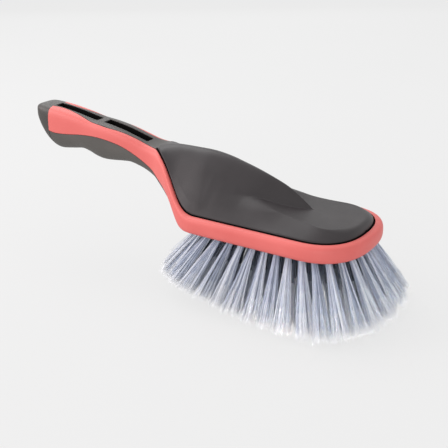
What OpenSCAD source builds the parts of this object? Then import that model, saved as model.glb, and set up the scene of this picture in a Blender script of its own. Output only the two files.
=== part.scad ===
// Wheel brush: a moulded black core with a handle, a snap-on hood, a red rubber
// bumper that runs on as side strips, a soft finger grip, and a tufted bristle block.
// +X points from the handle to the nose, +Z up. The bristle tips stand on Z = 0.

/* [Head] */
// Half of the width over the rubber bumper
bumper_half_w = 42; // [41:0.5:43]
// Height of the rubber bumper
bumper_h = 11.7; // [11.3:0.1:12.1]
// Length of the straight sides ahead of the neck
nose_start = 90; // [88:1:92]
// Length of the rounded nose, at the groove
nose_len = 31.7; // [30:0.1:33]
// Width of the groove between hood and bumper
groove_w = 1.8; // [1.4:0.1:2]

/* [Hood] */
// Wall thickness of the hood
wall = 2.2; // [1.8:0.1:2.6]
// Height of the hood's edge above the bumper
lip = 1.2; // [1:0.1:1.5]

/* [Handle] */
// Thickness of the rubber over the core
skin = 2.2; // [1.8:0.1:2.6]
// Width of the two pockets in the handle's top
pocket_w = 8; // [7:0.5:8]
// Depth of the pockets below the handle's top
pocket_depth = 15; // [12:1:16]

/* [Bristles] */
// Height of the bristle block's underside above the bristle tips
trim_h = 47.6; // [44:0.2:52]
// Free length of the outermost tufts
outer_tuft = 52.5; // [50:0.5:54]
// Free length of the second ring's tufts, where they do not reach the ground
second_tuft = 53; // [50:0.5:56]
// Distance between neighbouring tufts
pitch = 8.1; // [8:0.05:8.3]
// Radius of a tuft hole
hole_r = 2.25; // [2.2:0.05:2.3]
// Radius of a tuft at its tip
tip_r = 5.3; // [4:0.1:5.4]
// Sideways slope gained by each tuft per millimetre from the middle
fan_y = 0.0158; // [0.014:0.0002:0.017]
// Lengthways slope gained by each tuft per millimetre from the middle
fan_x = 0.0126; // [0.012:0.0002:0.014]

/* [Hidden] */
$fn = 32;

gap = 0.1;                       // clearance between neighbouring mouldings
block_h = 6.6;                   // thickness of the bristle block
block_recess = 0.5;              // how far the block's underside sits above the bumper's
plate_h = 1.8;                   // thickness of the core's head plate
rim_drop = 1.8;                  // how far the hood's rim reaches below the groove edge
nose_n = 2.48;                   // how square the nose is in plan
groove_half_w = bumper_half_w - 5.5;
bumper_nose = nose_len + 5.5;
head_z = trim_h + bumper_h - block_recess;   // height of the bumper's top edge
block_z = -bumper_h + block_recess;          // block underside, from the bumper's top edge
plate_z = -rim_drop - gap;                   // top of the core's head plate

origin_x = 2.3;                  // moves the part so that the middle of its length is at the origin
tail_x = -151.5;                 // rear end of the handle
strip_x = -135.4;                // rear end of the rubber parts
hood_x = -37;                    // rear end of the hood
grip_end_x = -20;                // front end of the finger grip
block_x = 3;                     // rear end of the bristle block
side_x = 10;                     // where the bumper becomes straight

// Outlines along X, each a list of [x, value]. Heights are measured from the
// bumper's top edge, widths from the middle plane.
top_line = [[-151.5, 47.2], [-150.3, 48.5], [-148, 49.3], [-144, 49.5], [-135, 49], [-125, 48.1],
    [-110, 45.8], [-97, 43.4], [-87, 42.5], [-78, 41.2], [-68, 39.2], [-58, 36.6], [-48, 33.9],
    [-42, 32.9], [-37, 32.6]];
bottom_line = [[-151.5, 41], [-150, 37.5], [-147.3, 33], [-143.8, 26.8], [-140, 21.6],
    [-135.4, 17.8], [-130, 16], [-120, 17.2], [-108, 18.8], [-100, 17.2], [-94, 15], [-88, 13.9],
    [-80, 14.3], [-70, 15.5], [-62, 16], [-54, 14.6], [-46, 12.2], [-38, 8.2], [-30, 2.6],
    [-20, -4.6], [-12, -9.2], [-5, -11.4], [0, -11.7]];
side_line = [[-151.5, 6], [-150, 8.8], [-147, 11.2], [-142, 12.7], [-135, 13.3], [-120, 13.1],
    [-100, 12.8], [-80, 12.8], [-60, 13], [-46, 13.4], [-37, 14.8], [-30, 17.8], [-24, 21],
    [-16, 26.6], [-10, 31], [-5, 34.6], [0, 37.8], [5, 40.2], [10, 41.5], [15, 42]];
strip_top_y = [[-137, 6.4], [-131, 5.4], [-125, 4.9], [-118, 5.4], [-112, 6.3], [-105, 7.6],
    [-98, 8.9], [-90, 9.6], [-81, 9.8], [-72, 8.9], [-63, 8], [-53, 7.7], [-44, 8.6], [-37, 10.3]];
strip_low_z = [[-137, 31.2], [-130, 30], [-120, 30.4], [-105, 32.1], [-95, 32.7], [-86, 32.5],
    [-76, 31.4], [-67, 29.7], [-58, 26.8], [-49, 22.8], [-40, 18.2], [-35, 14.8], [-30, 11.6],
    [-24, 7.8], [-18, 3.8], [-12, -0.7], [-7, -4.9], [-3, -8.3], [1, -10.7], [6, -11.7]];
groove_y_line = [[-37, 9.4], [-34, 11.3], [-30, 13.8], [-24, 17.2], [-16, 22.4], [-10, 26.8],
    [-5, 30.3], [0, 33.3], [5, 35.4], [10, 36.35], [14, 36.5]];
groove_z_line = [[-37, 31.9], [-34, 31.2], [-30, 29], [-24, 24.2], [-16, 16.4], [-10, 11],
    [-5, 6.9], [0, 3.7], [5, 1.4], [10, 0.2], [14, 0]];
crest_line = [[-37, 33.4], [-30, 34.4], [-20, 35.2], [-8, 35.4], [6, 35.3], [18, 33.8], [28, 31.5],
    [40, 28.4], [52, 24.7], [64, 20.2], [73, 15], [81.4, 8.8], [90, 2]];
crest_round = [[-37, 7], [0, 8], [20, 7], [40, 4.5], [60, 1.6], [80, 0.4]];
ridge_slope = [[28, 0.4], [38, 1], [45, 1.2], [64, 1.45], [80, 1.6]];
flank_w_line = [[20, 22], [40, 18], [56, 15.5], [73, 15], [90, 12.5], [107, 7.4], [114, 4.4],
    [118, 2.6], [121, 1.6]];
crease_blend = [[40, 0.6], [60, 0.25], [68, 0.04], [103, 0.04], [113, 0.35]];
apron_line = [[15, 26], [22, 23.5], [30, 19.5], [40, 15.2], [55, 11.8], [66, 9.5], [73.5, 8.4],
    [90, 7.2], [107, 6.2], [121, 5.3]];
valley_blend = [[15, 3], [32, 3], [38, 1.2], [60, 1], [90, 0.8]];

function mix(a, b, t) = a + (b - a) * t;
function ease(t) = let(c = min(1, max(0, t))) c * c * (3 - 2 * c);
function slope_at(tab, i) = let(a = max(0, i - 1), b = min(len(tab) - 1, i + 1))
    (tab[b][1] - tab[a][1]) / (tab[b][0] - tab[a][0]);
function hermite(p, q, m0, m1, x) = let(d = q[0] - p[0], t = (x - p[0]) / d)
    p[1] * (1 + 2 * t) * (1 - t) * (1 - t) + m0 * d * t * (1 - t) * (1 - t)
    + q[1] * t * t * (3 - 2 * t) - m1 * d * t * t * (1 - t);
// A smooth curve through an outline's points, flat beyond its ends.
function along(tab, x) = x <= tab[0][0] ? tab[0][1] : x >= tab[len(tab) - 1][0] ? tab[len(tab) - 1][1]
    : let(i = max([for (k = [0 : len(tab) - 2]) if (tab[k][0] <= x) k]))
    hermite(tab[i], tab[i + 1], slope_at(tab, i), slope_at(tab, i + 1), x);
function smooth_max(a, b, k) = let(h = max(k - abs(a - b), 0) / k) max(a, b) + h * h * k / 4;
function smooth_min(a, b, k) = -smooth_max(-a, -b, k);

function side_w(x) = along(side_line, x) + (bumper_half_w - 42) * ease((x - hood_x) / 50);
function groove_y(x) = x <= nose_start ? along(groove_y_line, x) + groove_half_w - 36.5
    : groove_half_w * pow(max(0, 1 - pow(min(1, (x - nose_start) / nose_len), nose_n)), 1 / nose_n);
function groove_z(x) = along(groove_z_line, x);
function bottom_z(x) = along(bottom_line, x);
function head_share(x) = ease((x - hood_x) / (side_x - hood_x));

// Powers of the super-ellipse that shapes each cross-section: square-shouldered
// above on the handle, round below, and evenly rounded on the bumper.
function shoulder(x) = mix(4.5, 3, head_share(x));
function belly(x) = mix(2.3, 3, head_share(x));
function power(x, up) = up ? shoulder(x) : belly(x);
function out_of(x, a) = pow(abs(cos(a)), 2 / power(x, a > 0));
function up_of(x, a) = sign(a) * pow(abs(sin(a)), 2 / power(x, a > 0));
function angle_of_rise(x, s) = sign(s) * asin(min(1, pow(abs(s), power(x, s > 0) / 2)));

// The handle's own cross-section, as [middle height, half height].
function handle_mid(x) = (along(top_line, x) + bottom_z(x)) / 2;
function handle_half(x) = (along(top_line, x) - bottom_z(x)) / 2;

// The strip's upper and lower edges, as angles on the cross-section.
edge_angle = 88;
function handle_up_angle(x) = acos(pow(along(strip_top_y, x) / side_w(x), shoulder(x) / 2));
function handle_low_angle(x) =
    angle_of_rise(x, (along(strip_low_z, x) - handle_mid(x)) / handle_half(x));
function blend_from_hood(x, a, b, end_x) = mix(a, b, ease((x - hood_x) / (end_x - hood_x)));
function up_angle(x) = x <= hood_x ? handle_up_angle(x)
    : blend_from_hood(x, handle_up_angle(hood_x), edge_angle, side_x);
function low_angle(x) = x <= hood_x ? handle_low_angle(x)
    : blend_from_hood(x, handle_low_angle(hood_x), -edge_angle, 6);
function strip_top_z(x) = x <= hood_x ? handle_mid(x) + handle_half(x) * up_of(x, up_angle(x))
    : groove_z(x);
function strip_edge_y(x) = x <= hood_x ? along(strip_top_y, x) : groove_y(x) + groove_w / 2;
function strip_half(x) = x <= hood_x ? handle_half(x)
    : (strip_top_z(x) - along(strip_low_z, x)) / (up_of(x, up_angle(x)) - up_of(x, low_angle(x)));
function strip_mid(x) = x <= hood_x ? handle_mid(x)
    : strip_top_z(x) - strip_half(x) * up_of(x, up_angle(x));
function strip_base(x) = x <= hood_x ? 0
    : let(c = out_of(x, up_angle(x))) (strip_edge_y(x) - side_w(x) * c) / (1 - c);

// A point of the strip's outer face, and of its inner face, at an angle.
function strip_out(x, a) = [strip_base(x) + (side_w(x) - strip_base(x)) * out_of(x, a),
    strip_mid(x) + strip_half(x) * up_of(x, a)];
function inner_reach(x) = let(full = side_w(x) - strip_base(x))
    full - mix(skin, full, head_share(x));
function inner_rise(x) = strip_half(x) - skin * (1 - head_share(x));
function strip_in(x, a) = [strip_base(x) + inner_reach(x) * out_of(x, a),
    strip_mid(x) + inner_rise(x) * up_of(x, a)];
function inner_y(x, z) = let(a = angle_of_rise(x, max(-1, min(1, (z - strip_mid(x)) / inner_rise(x)))))
    strip_base(x) + inner_reach(x) * out_of(x, a);

// The underside between the two strips, from the middle outwards, and how deep
// the finger grip sinks into it.
function under_edge(x) = strip_out(x, low_angle(x));
function under_angle(x) = min(handle_low_angle(min(x, hood_x)), 20);
function under_half(x) = x <= hood_x ? handle_half(x)
    : (under_edge(x)[1] - bottom_z(x)) / (1 + up_of(hood_x, under_angle(x)));
function under_reach(x) = x <= hood_x ? side_w(x)
    : under_edge(x)[0] / out_of(hood_x, under_angle(x));
function under_point(x, a, inset) = let(xs = min(x, hood_x), half = under_half(x))
    [(under_reach(x) - inset) * out_of(xs, a),
     (bottom_z(x) + half) + max(0.02, half - inset) * up_of(xs, a)];

// ---- the hood's surface ----
function hood_edge(x) = groove_y(x) - groove_w / 2;
function hood_nose_edge(x, y) = let(a = nose_len - groove_w / 2, b = groove_half_w - groove_w / 2,
    r = norm([x - nose_start, y]),
    q = pow(pow((x - nose_start) / a, nose_n) + pow(abs(y) / b, nose_n), 1 / nose_n))
    q < 0.001 ? b : r / q - r;
function from_edge(x, y) = x <= nose_start ? hood_edge(x) - abs(y) : max(0, hood_nose_edge(x, y));
function flank_z(x, y) = let(base = groove_z(x) + lip, across = from_edge(x, y) / along(flank_w_line, x))
    base + (along(apron_line, x) - base) * smooth_min(across, 1, along(crease_blend, x));
// How far a point lies past the soft fold across the neck.
function past_fold(x, y) = let(t = x - 5 - 0.35 * (abs(y) - 8)) (t + norm([t, 2])) / 2;
function reach_fall(x) = let(c = along(crest_round, x), e = hood_edge(min(x, nose_start)))
    (along(crest_line, x) - groove_z(x) - lip) / (norm([e, c]) - c);
function ridge_fall(x, y) = let(t = past_fold(x, y))
    smooth_max(reach_fall(x) + 0.0097 * t + 0.07 * (1 - exp(-t / 5)), along(ridge_slope, x), 0.2);
function ridge_z(x, y) = let(c = along(crest_round, x))
    along(crest_line, x) - ridge_fall(x, y) * (norm([y, c]) - c);
function blend_at(x, y) = min(along(valley_blend, x), 0.7 * max(0, from_edge(x, y)) + 0.05);
function hood_z(x, y) = smooth_max(flank_z(x, y), ridge_z(x, y), blend_at(x, y));

// ---- lofting ----
// A solid through closed rings of the same number of points, with flat ends. A
// fanned end is filled from its middle, which suits rings with straight runs.
module loft(rings, fan = false) {
    n = len(rings[0]);
    last = len(rings) - 1;
    all = [for (r = rings) for (p = r) p];
    ends = fan ? [middle_of(rings[0]), middle_of(rings[last])] : [];
    polyhedron(
        points = concat(all, ends),
        faces = concat(
            fan ? [for (i = [0 : n - 1]) [len(all), i, (i + 1) % n]] : [[for (i = [0 : n - 1]) i]],
            fan ? [for (i = [0 : n - 1]) [len(all) + 1, last * n + (i + 1) % n, last * n + i]]
                : [[for (i = [n - 1 : -1 : 0]) last * n + i]],
            [for (k = [0 : last - 1]) for (i = [0 : n - 1]) let(j = (i + 1) % n)
                each [[k * n + i, (k + 1) * n + i, k * n + j],
                      [k * n + j, (k + 1) * n + i, (k + 1) * n + j]]]),
        convexity = 10);
}
function sum_of(pts, i) = i == 0 ? pts[0] : pts[i] + sum_of(pts, i - 1);
function middle_of(pts) = sum_of(pts, len(pts) - 1) / len(pts);
function at_x(x, pts) = [for (p = pts) [x, p[0], p[1]]];
function flip(pts) = [for (i = [len(pts) - 1 : -1 : 0]) pts[i]];
function mirrored(pts) = [for (p = pts) [-p[0], p[1]]];
function steps(a, b, n) = [for (i = [0 : n]) mix(a, b, i / n)];

// ---- handle core ----
core_under = 6;                  // points along half of the core's underside
core_side = 6;                   // points up each side
core_top = 4;                    // points across half of the top
function bare(x) = x < strip_x;  // the tail, where the core is its own skin
function grip_inset(x) = bare(x) || x > grip_end_x ? 0 : skin + gap;
function core_low_z(x) = x < block_x ? bottom_z(x) : plate_z - plate_h;
function core_top_z(x) = x <= hood_x ? along(top_line, x) : groove_z(x) + plate_z;
function tail_point(x, a) = [side_w(x) * out_of(x, a), handle_mid(x) + handle_half(x) * up_of(x, a)];
function core_half(x) = bare(x)
    ? concat([for (i = [0 : core_under]) tail_point(x, mix(-90, 0, i / core_under))],
             [for (i = [1 : core_side]) tail_point(x, mix(0, 75, i / core_side))],
             [for (i = [1 : core_top]) tail_point(x, mix(75, 90, i / core_top))])
    : x < block_x ? core_clad(x) : core_plate(x);
function core_clad(x) = let(
    low = under_point(x, under_angle(x), grip_inset(x)),
    high = x <= hood_x ? strip_in(x, up_angle(x))[1] - gap : core_top_z(x),
    start = low[1] + 0.3)
    concat([for (i = [0 : core_under])
               under_point(x, mix(-90, under_angle(x), i / core_under), grip_inset(x))],
           [for (i = [1 : core_side]) let(z = mix(start, high, i / core_side)) [inner_y(x, z) - gap, z]],
           x <= hood_x ? [for (i = [1 : core_top]) let(y = (strip_edge_y(x) - gap) * (1 - (i - 1) / core_top))
                              [y * (i == core_top ? 0 : 1), handle_top_at(x, y * (i == core_top ? 0 : 1))]]
                       : [for (i = [1 : core_top]) [(inner_y(x, high) - gap) * (1 - i / core_top), high]]);
function handle_top_at(x, y) = handle_mid(x) + handle_half(x)
    * pow(max(0, 1 - pow(abs(y) / side_w(x), shoulder(x))), 1 / shoulder(x));
function core_plate(x) = let(y = groove_y(x) + groove_w / 2 - 2 * gap, low = plate_z - plate_h)
    concat([for (i = [0 : core_under]) [y * i / core_under, low]],
           [for (i = [1 : core_side]) [y, mix(low, plate_z, i / core_side)]],
           [for (i = [1 : core_top]) [y * (1 - i / core_top), plate_z]]);
function full_ring(half) = concat(half, [for (i = [len(half) - 2 : -1 : 1]) [-half[i][0], half[i][1]]]);

nose_steps = 8;
function nose_x(i, reach) = nose_start + reach * pow(sin(mix(0, 86, i / nose_steps)), 2 / nose_n);
core_x = concat([tail_x, -151, -150, -148.5, -146.5, -144, -141, strip_x - 0.05],
    steps(strip_x, hood_x - 0.05, 24), steps(hood_x, grip_end_x, 5),
    steps(grip_end_x + 0.05, block_x - 0.1, 6),
    [block_x - 0.05, 8, 14, 30, 50, 70], [for (i = [0 : nose_steps]) nose_x(i, nose_len)]);

pockets = [[-135.2, -94.6], [-88.4, -48.8]];   // [rear, front] of each pocket in the handle
pocket_r = 0.8;                            // corner radius of a pocket

module pocket(span) {
    l = span[1] - span[0];
    mid = (span[0] + span[1]) / 2;
    floor_z = along(top_line, mid) - pocket_depth;
    translate([mid, 0, floor_z]) linear_extrude(40)
        union() {
            square([l - 2 * pocket_r, pocket_w], center = true);
            square([l, pocket_w - 2 * pocket_r], center = true);
            for (sx = [-1, 1], sy = [-1, 1])
                translate([sx * (l / 2 - pocket_r), sy * (pocket_w / 2 - pocket_r)]) circle(pocket_r);
        }
}

module handle_core() {
    color([0.1, 0.1, 0.11]) translate([origin_x, 0, head_z]) difference() {
        loft([for (x = core_x) at_x(x, full_ring(core_half(x)))], fan = true);
        for (p = pockets) pocket(p);
    }
}

// ---- rubber bumper and side strips: one piece, swept round the nose ----
strip_n = 8;                     // facets across the strip
function strip_ring(x) = concat(
    [for (i = [0 : strip_n]) strip_out(x, mix(low_angle(x), up_angle(x), i / strip_n))],
    [for (i = [strip_n : -1 : 0]) strip_in(x, mix(low_angle(x), up_angle(x), i / strip_n))]);
function nose_point(p, turn) = let(
    inner = groove_half_w + groove_w / 2,
    out = (p[0] - inner) / (bumper_half_w - inner),
    a = mix(nose_len + groove_w / 2, bumper_nose, out))
    [nose_start + a * pow(sin(turn), 2 / nose_n),
     p[0] * sign(cos(turn)) * pow(abs(cos(turn)), 2 / nose_n), p[1]];
strip_stations = concat(steps(strip_x, hood_x, 22), steps(hood_x + 3, side_x, 11), [18, 34, 52, 72]);
nose_turns = 18;

module rubber_bumper() {
    left = [for (x = strip_stations) at_x(x, strip_ring(x))];
    front = [for (i = [0 : nose_turns])
        [for (p = strip_ring(nose_start)) nose_point(p, mix(0, 180, i / nose_turns))]];
    right = [for (i = [len(strip_stations) - 1 : -1 : 0])
        at_x(strip_stations[i], mirrored(strip_ring(strip_stations[i])))];
    color([0.85, 0.25, 0.22]) translate([origin_x, 0, head_z]) loft(concat(left, front, right));
}

// ---- finger grip ----
grip_n = 8;                      // facets from the middle to each edge
function grip_angle(x, i) = mix(-90, under_angle(x), i / grip_n);
function grip_half(x, inset) = [for (i = [0 : grip_n]) under_point(x, grip_angle(x, i), inset)];
function grip_arc(x, inset) = let(h = grip_half(x, inset))
    concat(flip(mirrored(h)), [for (i = [1 : grip_n]) h[i]]);
function lowered(pts) = [for (p = pts) [p[0], p[1] - 0.15]];
function grip_ring(x) = concat(lowered(grip_arc(x, 0)), flip(lowered(grip_arc(x, skin))));

module finger_grip() {
    color([0.16, 0.16, 0.16]) translate([origin_x, 0, head_z])
        loft([for (x = steps(strip_x + gap, grip_end_x - gap, 34)) at_x(x, grip_ring(x))]);
}

// ---- hood ----
hood_n = 12;                     // facets from the crest to each edge
hood_nose = nose_len - groove_w / 2;
function hood_side(i) = 1 - pow(1 - i / hood_n, 1.25);
function hood_row(x, edge, top, hollow) = let(
    rim = groove_z(x) - rim_drop,
    ys = concat([for (i = [hood_n : -1 : 1]) -hood_side(i)], [for (i = [0 : hood_n]) hood_side(i)]))
    concat([[-edge, rim]], [for (u = ys) [u * edge, hood_z(x, u * edge)]], [[edge, rim]],
           [[edge * (1 - 0.85 * hollow), rim]],
           [for (i = [len(ys) - 1 : -1 : 0]) let(u = ys[i])
               [u * edge * (1 - hollow), top ? max(rim + 0.01, hood_z(x, u * edge) - wall) : rim]],
           [[-edge * (1 - 0.85 * hollow), rim]]);
function hood_ring(x, edge) = let(open = x > hood_x + wall && x < nose_start + hood_nose - wall)
    at_x(x, hood_row(x, edge, open, min(0.5, wall / edge)));
hood_stations = concat([hood_x, hood_x + wall, hood_x + wall + 0.1], steps(hood_x + 5, 60, 22),
    steps(63, nose_start, 9));
function hood_nose_ring(i) = let(turn = mix(0, 84, i / 8),
    x = nose_start + hood_nose * pow(sin(turn), 2 / nose_n))
    hood_ring(x, max(0.8, (groove_half_w - groove_w / 2) * pow(cos(turn), 2 / nose_n)));

module hood() {
    color([0.14, 0.13, 0.14]) translate([origin_x, 0, head_z])
        loft(concat([for (x = hood_stations) flip(hood_ring(x, hood_edge(x)))],
                    [for (i = [1 : 8]) flip(hood_nose_ring(i))]), fan = true);
}

// ---- tufts, their holes and their anchors ----
tuft_r = hole_r - gap;           // radius of a tuft where it leaves the block
hole_depth = 5.2;
seat_depth = 5;                  // how far a tuft reaches into its hole
anchor = [0.4, 4.2, 1.7];        // the flat wire that holds a folded tuft
fan_mid_x = 62.5;                // where the tufts stand upright, along the head
rear_cut = 8;                    // how much shorter the free length is at the rear
front_cut = 1.5;                 // and at the nose
ring_front = 27;                 // outer ring's reach beyond the nose's start
ring_rear = 26;                  // outer ring's reach behind its rear centre
ring_rear_x = 34;
ring_counts = [18, 15, 11, 8];   // tufts on each half ring, outermost first
function ring_half_w(k) = pitch * (4 - k);
function arc_point(k, cx, reach, n, a) = [
    cx + sign(reach) * (abs(reach) - pitch * k) * pow(abs(sin(a)), 2 / n),
    ring_half_w(k) * pow(abs(cos(a)), 2 / n)];
function ring_path(k) = concat(
    [for (a = [90 : -3 : 0]) arc_point(k, ring_rear_x, -ring_rear, 3, a)],
    [for (a = [0 : 3 : 90]) arc_point(k, nose_start, ring_front, nose_n, a)]);
function run_of(path, i) = i == 0 ? 0 : run_of(path, i - 1) + norm(path[i] - path[i - 1]);
function spot(path, runs, s) = let(i = max([for (j = [0 : len(path) - 2]) if (runs[j] <= s) j]))
    mix(path[i], path[i + 1], (s - runs[i]) / max(0.001, runs[i + 1] - runs[i]));
function half_ring(k) = let(path = ring_path(k), runs = [for (i = [0 : len(path) - 1]) run_of(path, i)],
    n = ring_counts[k])
    [for (i = [0 : n - 1]) spot(path, runs, runs[len(path) - 1] * (i + 0.5) / n)];
centre_row = [for (i = [0 : 7]) [mix(35, 91, i / 7), 0]];

function fan_along(x) = fan_x * (x - fan_mid_x) * (x > fan_mid_x ? 0.84 : 1.08);
function free_length(x, longest) = longest - rear_cut * (1 - ease((x - 22) / 75))
    - front_cut * ease((x - 95) / 20);
function lean_of(p) = atan(norm([fan_along(p[0]), fan_y * p[1]]));
function turn_of(p) = atan2(fan_y * p[1], fan_along(p[0]));
function reach_of(p) = trim_h / cos(lean_of(p)) + tip_r * tan(lean_of(p));

module at_tuft(p) {
    translate([origin_x + p[0], p[1], trim_h]) rotate([0, 180 - lean_of(p), turn_of(p)]) children();
}
// One folded tuft, slotted for its anchor and trimmed level with the ground.
module tuft(p, longest) {
    difference() {
        at_tuft(p) difference() {
            union() {
                translate([0, 0, -seat_depth]) cylinder(h = seat_depth, r = tuft_r);
                cylinder(h = min(longest, reach_of(p)), r1 = tuft_r, r2 = tip_r);
            }
            translate([-0.3, -hole_r - 1, -seat_depth - 1]) cube([0.6, 2 * hole_r + 2, anchor[2] + 1.1]);
        }
        translate([p[0] - 100, p[1] - 100, -20]) cube([200, 200, 20]);
    }
}
module tufts(spots, side, longest = 100) {
    color([0.62, 0.66, 0.75]) for (p = spots)
        tuft([p[0], side * p[1]], free_length(p[0], longest));
}
module anchors(spots, side) {
    color([0.8, 0.68, 0.35]) for (p = spots) at_tuft([p[0], side * p[1]])
        translate([-anchor[0] / 2, -anchor[1] / 2, -seat_depth]) cube(anchor);
}

// ---- bristle block ----
function block_edge(x) = min(strip_base(x), groove_y(x) + groove_w / 2) - 2 * gap;
block_side = concat([for (x = [block_x, 4.5, 6, 8, 10, 13]) [x, block_edge(x)]],
    [for (i = [0 : 12])
        let(x = nose_start + (nose_len + groove_w / 2 - 2 * gap) * pow(sin(i * 7.5), 2 / nose_n))
        [x, (groove_half_w + groove_w / 2 - 2 * gap) * pow(abs(cos(i * 7.5)), 2 / nose_n)]]);

module bristle_block() {
    color([0.08, 0.08, 0.08]) difference() {
        translate([origin_x, 0, trim_h]) linear_extrude(block_h - gap)
            polygon(concat(block_side,
                [for (i = [len(block_side) - 2 : -1 : 0]) [block_side[i][0], -block_side[i][1]]]));
        for (k = [0 : 3], side = [-1, 1], p = half_ring(k)) at_tuft([p[0], side * p[1]])
            translate([0, 0, -hole_depth]) cylinder(h = hole_depth + 3, r = hole_r);
        for (p = centre_row) at_tuft(p)
            translate([0, 0, -hole_depth]) cylinder(h = hole_depth + 3, r = hole_r);
    }
}

handle_core();
hood();
rubber_bumper();
finger_grip();
bristle_block();
tufts(half_ring(0), 1, outer_tuft);  // tufts_outer_left
tufts(half_ring(0), -1, outer_tuft);  // tufts_outer_right
tufts(half_ring(1), 1, second_tuft);  // tufts_second_left
tufts(half_ring(1), -1, second_tuft);  // tufts_second_right
tufts(half_ring(2), 1);  // tufts_third_left
tufts(half_ring(2), -1);  // tufts_third_right
tufts(half_ring(3), 1);  // tufts_inner_left
tufts(half_ring(3), -1);  // tufts_inner_right
tufts(centre_row, 1);  // tufts_centre
anchors(half_ring(0), 1);  // anchors_outer_left
anchors(half_ring(0), -1);  // anchors_outer_right
anchors(half_ring(1), 1);  // anchors_second_left
anchors(half_ring(1), -1);  // anchors_second_right
anchors(half_ring(2), 1);  // anchors_third_left
anchors(half_ring(2), -1);  // anchors_third_right
anchors(half_ring(3), 1);  // anchors_inner_left
anchors(half_ring(3), -1);  // anchors_inner_right
anchors(centre_row, 1);  // anchors_centre
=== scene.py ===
import math

import bmesh
import bpy
import numpy as np
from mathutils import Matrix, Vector


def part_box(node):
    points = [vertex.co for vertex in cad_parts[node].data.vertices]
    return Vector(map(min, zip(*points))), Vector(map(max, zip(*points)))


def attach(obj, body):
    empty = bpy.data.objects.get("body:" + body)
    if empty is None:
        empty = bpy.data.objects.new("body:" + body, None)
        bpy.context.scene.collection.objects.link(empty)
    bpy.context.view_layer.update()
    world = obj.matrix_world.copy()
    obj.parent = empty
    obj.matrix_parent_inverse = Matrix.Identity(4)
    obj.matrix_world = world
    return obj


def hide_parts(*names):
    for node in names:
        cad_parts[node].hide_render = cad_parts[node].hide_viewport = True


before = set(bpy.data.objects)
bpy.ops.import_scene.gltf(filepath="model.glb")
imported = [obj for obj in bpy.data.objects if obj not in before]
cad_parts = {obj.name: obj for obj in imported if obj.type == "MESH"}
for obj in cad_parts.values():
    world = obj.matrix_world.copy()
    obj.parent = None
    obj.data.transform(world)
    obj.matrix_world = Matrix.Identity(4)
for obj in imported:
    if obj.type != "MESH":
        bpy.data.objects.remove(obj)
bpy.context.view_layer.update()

MM = 0.001


# ---------------------------------------------------------------- placing
# Shapes are worked out in millimetres. X runs to the nose. The mouldings count Z
# from the bumper's top edge round the head, the bristles from their level tips.
# SHIFT puts it all where the packed bristle block and bumper are.
block_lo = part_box("bristle_block")[0]
bumper_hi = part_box("rubber_bumper")[1]
TRIM = 47.6                # straight bristles below the block
BUMPER_H = 11.7
BLOCK_SUNK = 0.5           # the bumper's lower edge hangs this far below the block
HEAD_Z = TRIM + BUMPER_H - BLOCK_SUNK
NOSE_START = 90.0          # where the straight sides end
NOSE_LEN = 31.7            # from there to the groove line's front
NOSE_N = 2.48              # power of the nose's superellipse
GROOVE_HALF, GROOVE_W = 36.5, 1.8
BUMPER_HALF = 42.0
BUMPER_AHEAD = 5.5         # the bumper's front is this far ahead of the groove line
BUMPER_NOSE = NOSE_LEN + BUMPER_AHEAD
SHIFT = Vector((bumper_hi[0] - (NOSE_START + BUMPER_NOSE) * MM, 0.0, block_lo[2] - TRIM * MM))
SKIN = 2.2                 # wall of the side strips and of the grip
GAP = 0.1                  # between one moulding and the next
LIP = 1.2                  # the hood's edge stands this far above the groove line
HOOD_DROP = 1.8            # its outer wall reaches this far below the groove line
PLATE_TOP, PLATE_LOW = 1.9, 3.7     # the head plate's faces below the groove line

# ---------------------------------------------------------------- outlines
# Along X: the tail's end, the side strips' rear ends, the hood's rear edge, the
# grip's front end, the block's rear end, where the strip has its shape of the
# head above, and the same for its lower edge.
TAIL_X, STRIP_X, HOOD_X, GRIP_END, BLOCK_X = -151.5, -135.4, -37.0, -20.0, 3.0
SIDE_X, LOW_X = 10.0, 6.0
# Powers of the handle's superellipse sections: upper half, lower half, and both at the head.
TOP_POWER, BELLY_POWER, HEAD_POWER = 4.5, 2.3, 3
EDGE = math.radians(88)             # where the strip ends on the head's section
GRIP_EDGE = math.radians(20)        # the highest angle of the grip's edge


def curve(points):
    """A smooth function through the points, flat beyond its ends."""
    p = np.array(points, float)
    x, y = p[:, 0], p[:, 1]
    a = np.maximum(np.arange(len(x)) - 1, 0)
    b = np.minimum(np.arange(len(x)) + 1, len(x) - 1)
    m = (y[b] - y[a]) / (x[b] - x[a])

    def f(q):
        q = np.clip(np.asarray(q, float), x[0], x[-1])
        i = np.clip(np.searchsorted(x, q, side="right") - 1, 0, len(x) - 2)
        d = x[i + 1] - x[i]
        t = (q - x[i]) / d
        return (y[i] * (1 + 2 * t) * (1 - t) ** 2 + m[i] * d * t * (1 - t) ** 2
                + y[i + 1] * t * t * (3 - 2 * t) - m[i + 1] * d * t * t * (1 - t))
    return f


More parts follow.
